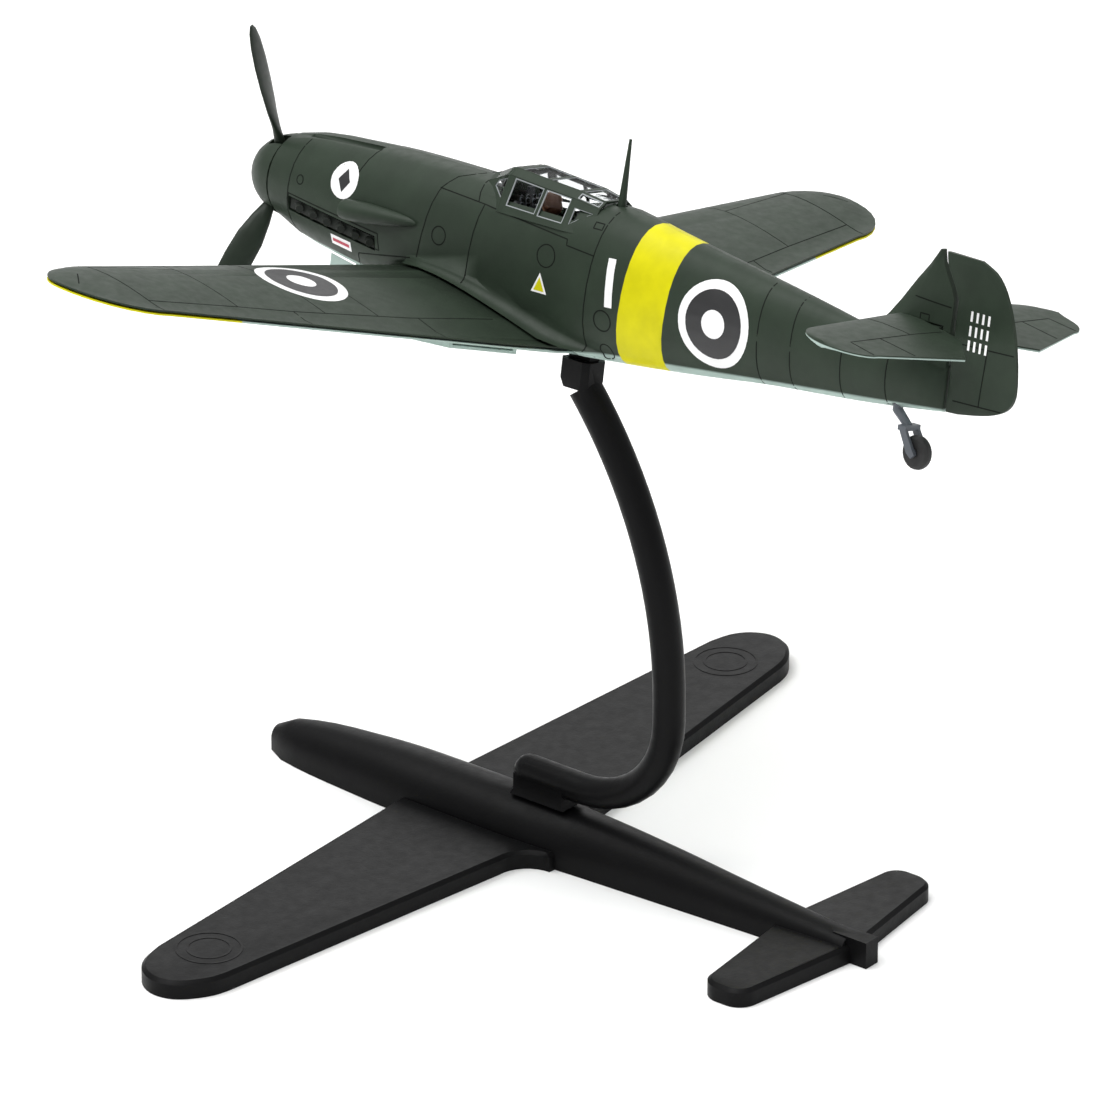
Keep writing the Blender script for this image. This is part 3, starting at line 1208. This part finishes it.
def build_arm(plastic):
    path = arm_path()
    count = len(path)
    radii = [blend(ARM_RADIUS, ARM_TOP_RADIUS, i / (count - 1)) for i in range(count)]
    arm = sweep("arm", path, radii)
    knee = ellipsoid("knee", (0, path[0][0], path[0][1]), (ARM_RADIUS * 1.01,) * 3)
    join(arm, knee)
    foot_top = ARM_FOOT_Z
    middle_y = (FOOT_Y[0] + FOOT_Y[1]) / 2
    foot_bottom = ridge_top(middle_y) + FOOT_BOTTOM_CLEARANCE
    half = ARM_RADIUS * 0.97
    rings = []
    for z, spare in ((foot_bottom, 0.35 * MM), (foot_bottom + 0.7 * MM, 0.0), (foot_top, -0.02 * MM)):
        low, high = FOOT_Y[0] - spare, FOOT_Y[1] + spare
        wide = half + spare * 0.6
        rings.append([(-wide, low, z), (wide, low, z), (wide, high - 0.6 * MM, z), (wide * 0.6, high, z),
                      (-wide * 0.6, high, z), (-wide, high - 0.6 * MM, z)])
    join(arm, loft("foot", rings))
    for index in range(len(PEG_LENGTHS_Y)):
        join(arm, peg(index, 0.0, ridge_top(middle_y) - PEG_DEPTH, foot_bottom + 0.4 * MM))

    width, length, height = HEAD_SIZE
    rings = []
    for z, trim in ((-height - ARM_TOP_RADIUS * 0.5, 0.3 * MM), (-height, 0.0), (-GAP, 0.0)):
        w, l = width / 2 - trim, length / 2 - trim
        c = 0.7 * MM
        rings.append([(-w, -l + c, z), (-w + c, -l, z), (w - c, -l, z), (w, -l + c, z),
                      (w, l - c, z), (w - c, l, z), (-w + c, l, z), (-w, l - c, z)])
    head = loft("head", rings)
    wide, long_, tall = TONGUE_SIZE
    join(head, box("tongue", (-wide / 2, -long_ / 2, -1 * MM), (wide / 2, long_ / 2, tall - 2 * GAP)))
    head.data.transform(Matrix.Translation(arm_top()) @ plane_rotation().to_4x4())
    join(arm, head)
    finish(arm, "stand_arm", plastic)


def base_outline():
    """Half outline of the slab from the nose side round the wing to the tailplane, x positive."""
    lead, trail = BASE_WING_LEADING, BASE_WING_TRAILING
    points = [(2.0 * MM, lead[0])]
    for inward, share in rounded(BASE_TIP_SHAPE, 3):
        points.append((BASE_SPAN / 2 - inward * MM, blend(lead[1], trail[1], share)))
    corner = 4.2 * MM
    points.append((9.5 * MM, trail[0]))
    for i in range(1, CORNER_STEPS + 1):
        angle = math.pi / 2 * i / CORNER_STEPS
        points.append((9.5 * MM - corner * math.sin(angle), trail[0] - corner * (1 - math.cos(angle))))
    points.append((2.0 * MM, trail[0] - corner - 0.4 * MM))
    return points


def tailplane_outline():
    lead, trail = BASE_TAILPLANE_LEADING, BASE_TAILPLANE_TRAILING
    half = BASE_TAILPLANE_SPAN / 2
    corner = 2.6 * MM
    points = [(1.0 * MM, lead[0]), (half - corner, lead[1])]
    for i in range(1, CORNER_STEPS + 1):
        angle = math.pi / 2 * i / CORNER_STEPS
        points.append((half - corner + corner * math.sin(angle), lead[1] - corner * (1 - math.cos(angle))))
    for i in range(CORNER_STEPS + 1):
        angle = math.pi / 2 * i / CORNER_STEPS
        points.append((half - corner + corner * math.cos(angle), trail[1] + corner * (1 - math.sin(angle))))
    points.append((1.0 * MM, trail[0]))
    return points


def slab(name, half_outline):
    """Both halves of a slab with a chamfered upper edge."""
    outline = half_outline + [(-x, y) for x, y in half_outline[::-1]]
    centre = sum(y for _, y in outline) / len(outline)
    rings = []
    for z, inset in ((0.0, 0.0), (SLAB_THICKNESS - SLAB_BEVEL, 0.0), (SLAB_THICKNESS, SLAB_BEVEL)):
        ring = []
        count = len(outline)
        for i, (x, y) in enumerate(outline):
            ax, ay = outline[i - 1]
            bx, by = outline[(i + 1) % count]
            tangent = Vector((bx - ax, by - ay)).normalized()
            inward = Vector((tangent.y, -tangent.x))
            if inward.dot(Vector((-x, centre - y))) < 0 and abs(x) > 12 * MM:
                inward = -inward
            ring.append((x + inward.x * inset, y + inward.y * inset, z))
        rings.append(ring)
    return loft(name, rings)


def build_base(plastic):
    base = slab("base", base_outline())
    rings = []
    rows = spread(BASE_NOSE_Y, RIDGE_ROWS[-1][0] * MM, RIDGE_STATIONS)
    for y in rows:
        half = table(RIDGE_ROWS, y, 1) * MM
        height = table(RIDGE_ROWS, y, 2) * MM
        side_z = SLAB_THICKNESS * 0.7
        ring = [(half, y, 0.0)]
        for i in range(RIDGE_STEPS + 1):
            angle = math.pi * i / RIDGE_STEPS
            ring.append((half * math.cos(angle), y, side_z + (height - side_z) * math.sin(angle)))
        ring.append((-half, y, 0.0))
        rings.append(ring)
    join(base, loft("ridge", rings), slab("tailplane", tailplane_outline()))
    half, height = TAIL_BLOCK
    join(base, box("block", (-half, BASE_TAIL_Y, 0.0), (half, RIDGE_ROWS[-1][0] * MM + 2 * MM, height)))
    for index in range(len(PEG_LENGTHS_Y)):
        floor = ridge_top((FOOT_Y[0] + FOOT_Y[1]) / 2) - PEG_DEPTH - PEG_CLEARANCE
        cut(base, peg(index, PEG_CLEARANCE, floor, 12 * MM))
    finish(base, "stand_base", plastic)


# ================================================================ assembly
def build_plane():
    frame = bpy.data.objects.new("plane_frame", None)
    bpy.context.scene.collection.objects.link(frame)
    rotation = plane_rotation()
    seat = Vector((0, station(TONGUE_AFT), BELLY_Z))
    frame.location = arm_top() - rotation @ seat
    frame.rotation_mode = "XYZ"
    frame.rotation_euler = rotation.to_euler("XYZ")

    paint = make_material("dark_green", (0.045, 0.06, 0.045), 0.45)
    underside = make_material("pale_blue_green", (0.36, 0.47, 0.42), 0.45)
    dark = make_material("black_detail", (0.015, 0.015, 0.015), 0.6)
    grey = make_material("leg_grey", (0.12, 0.13, 0.14), 0.5)
    rubber = make_material("tyre_black", (0.012, 0.012, 0.012), 0.8)
    metal = make_material("burnt_metal", (0.03, 0.028, 0.026), 0.6, 0.4)
    interior = make_material("cockpit_grey", (0.06, 0.065, 0.07), 0.6)
    cloth = make_material("flying_suit", (0.11, 0.06, 0.035), 0.8)
    glass = make_material("clear_plastic", (0.9, 0.93, 0.93), 0.05, 0.0, 0.3)

    build_fuselage(paint, frame)
    build_wing(paint, underside, dark, frame)
    build_tailplanes(paint, frame)
    build_rudder(paint, frame)
    build_tail_wheel(grey, rubber, frame)
    build_propeller(paint, dark, frame)
    build_exhausts(metal, frame)
    build_intake(paint, frame)
    build_radiators(underside, dark, frame)
    build_oil_cooler(underside, dark, frame)
    build_cockpit(interior, grey, cloth, frame)
    build_canopy(glass, paint, frame)


def main():
    clear_scene()
    plastic = make_material("stand_black", (0.012, 0.012, 0.013), 0.4)
    build_base(plastic)
    build_arm(plastic)
    build_plane()


main()
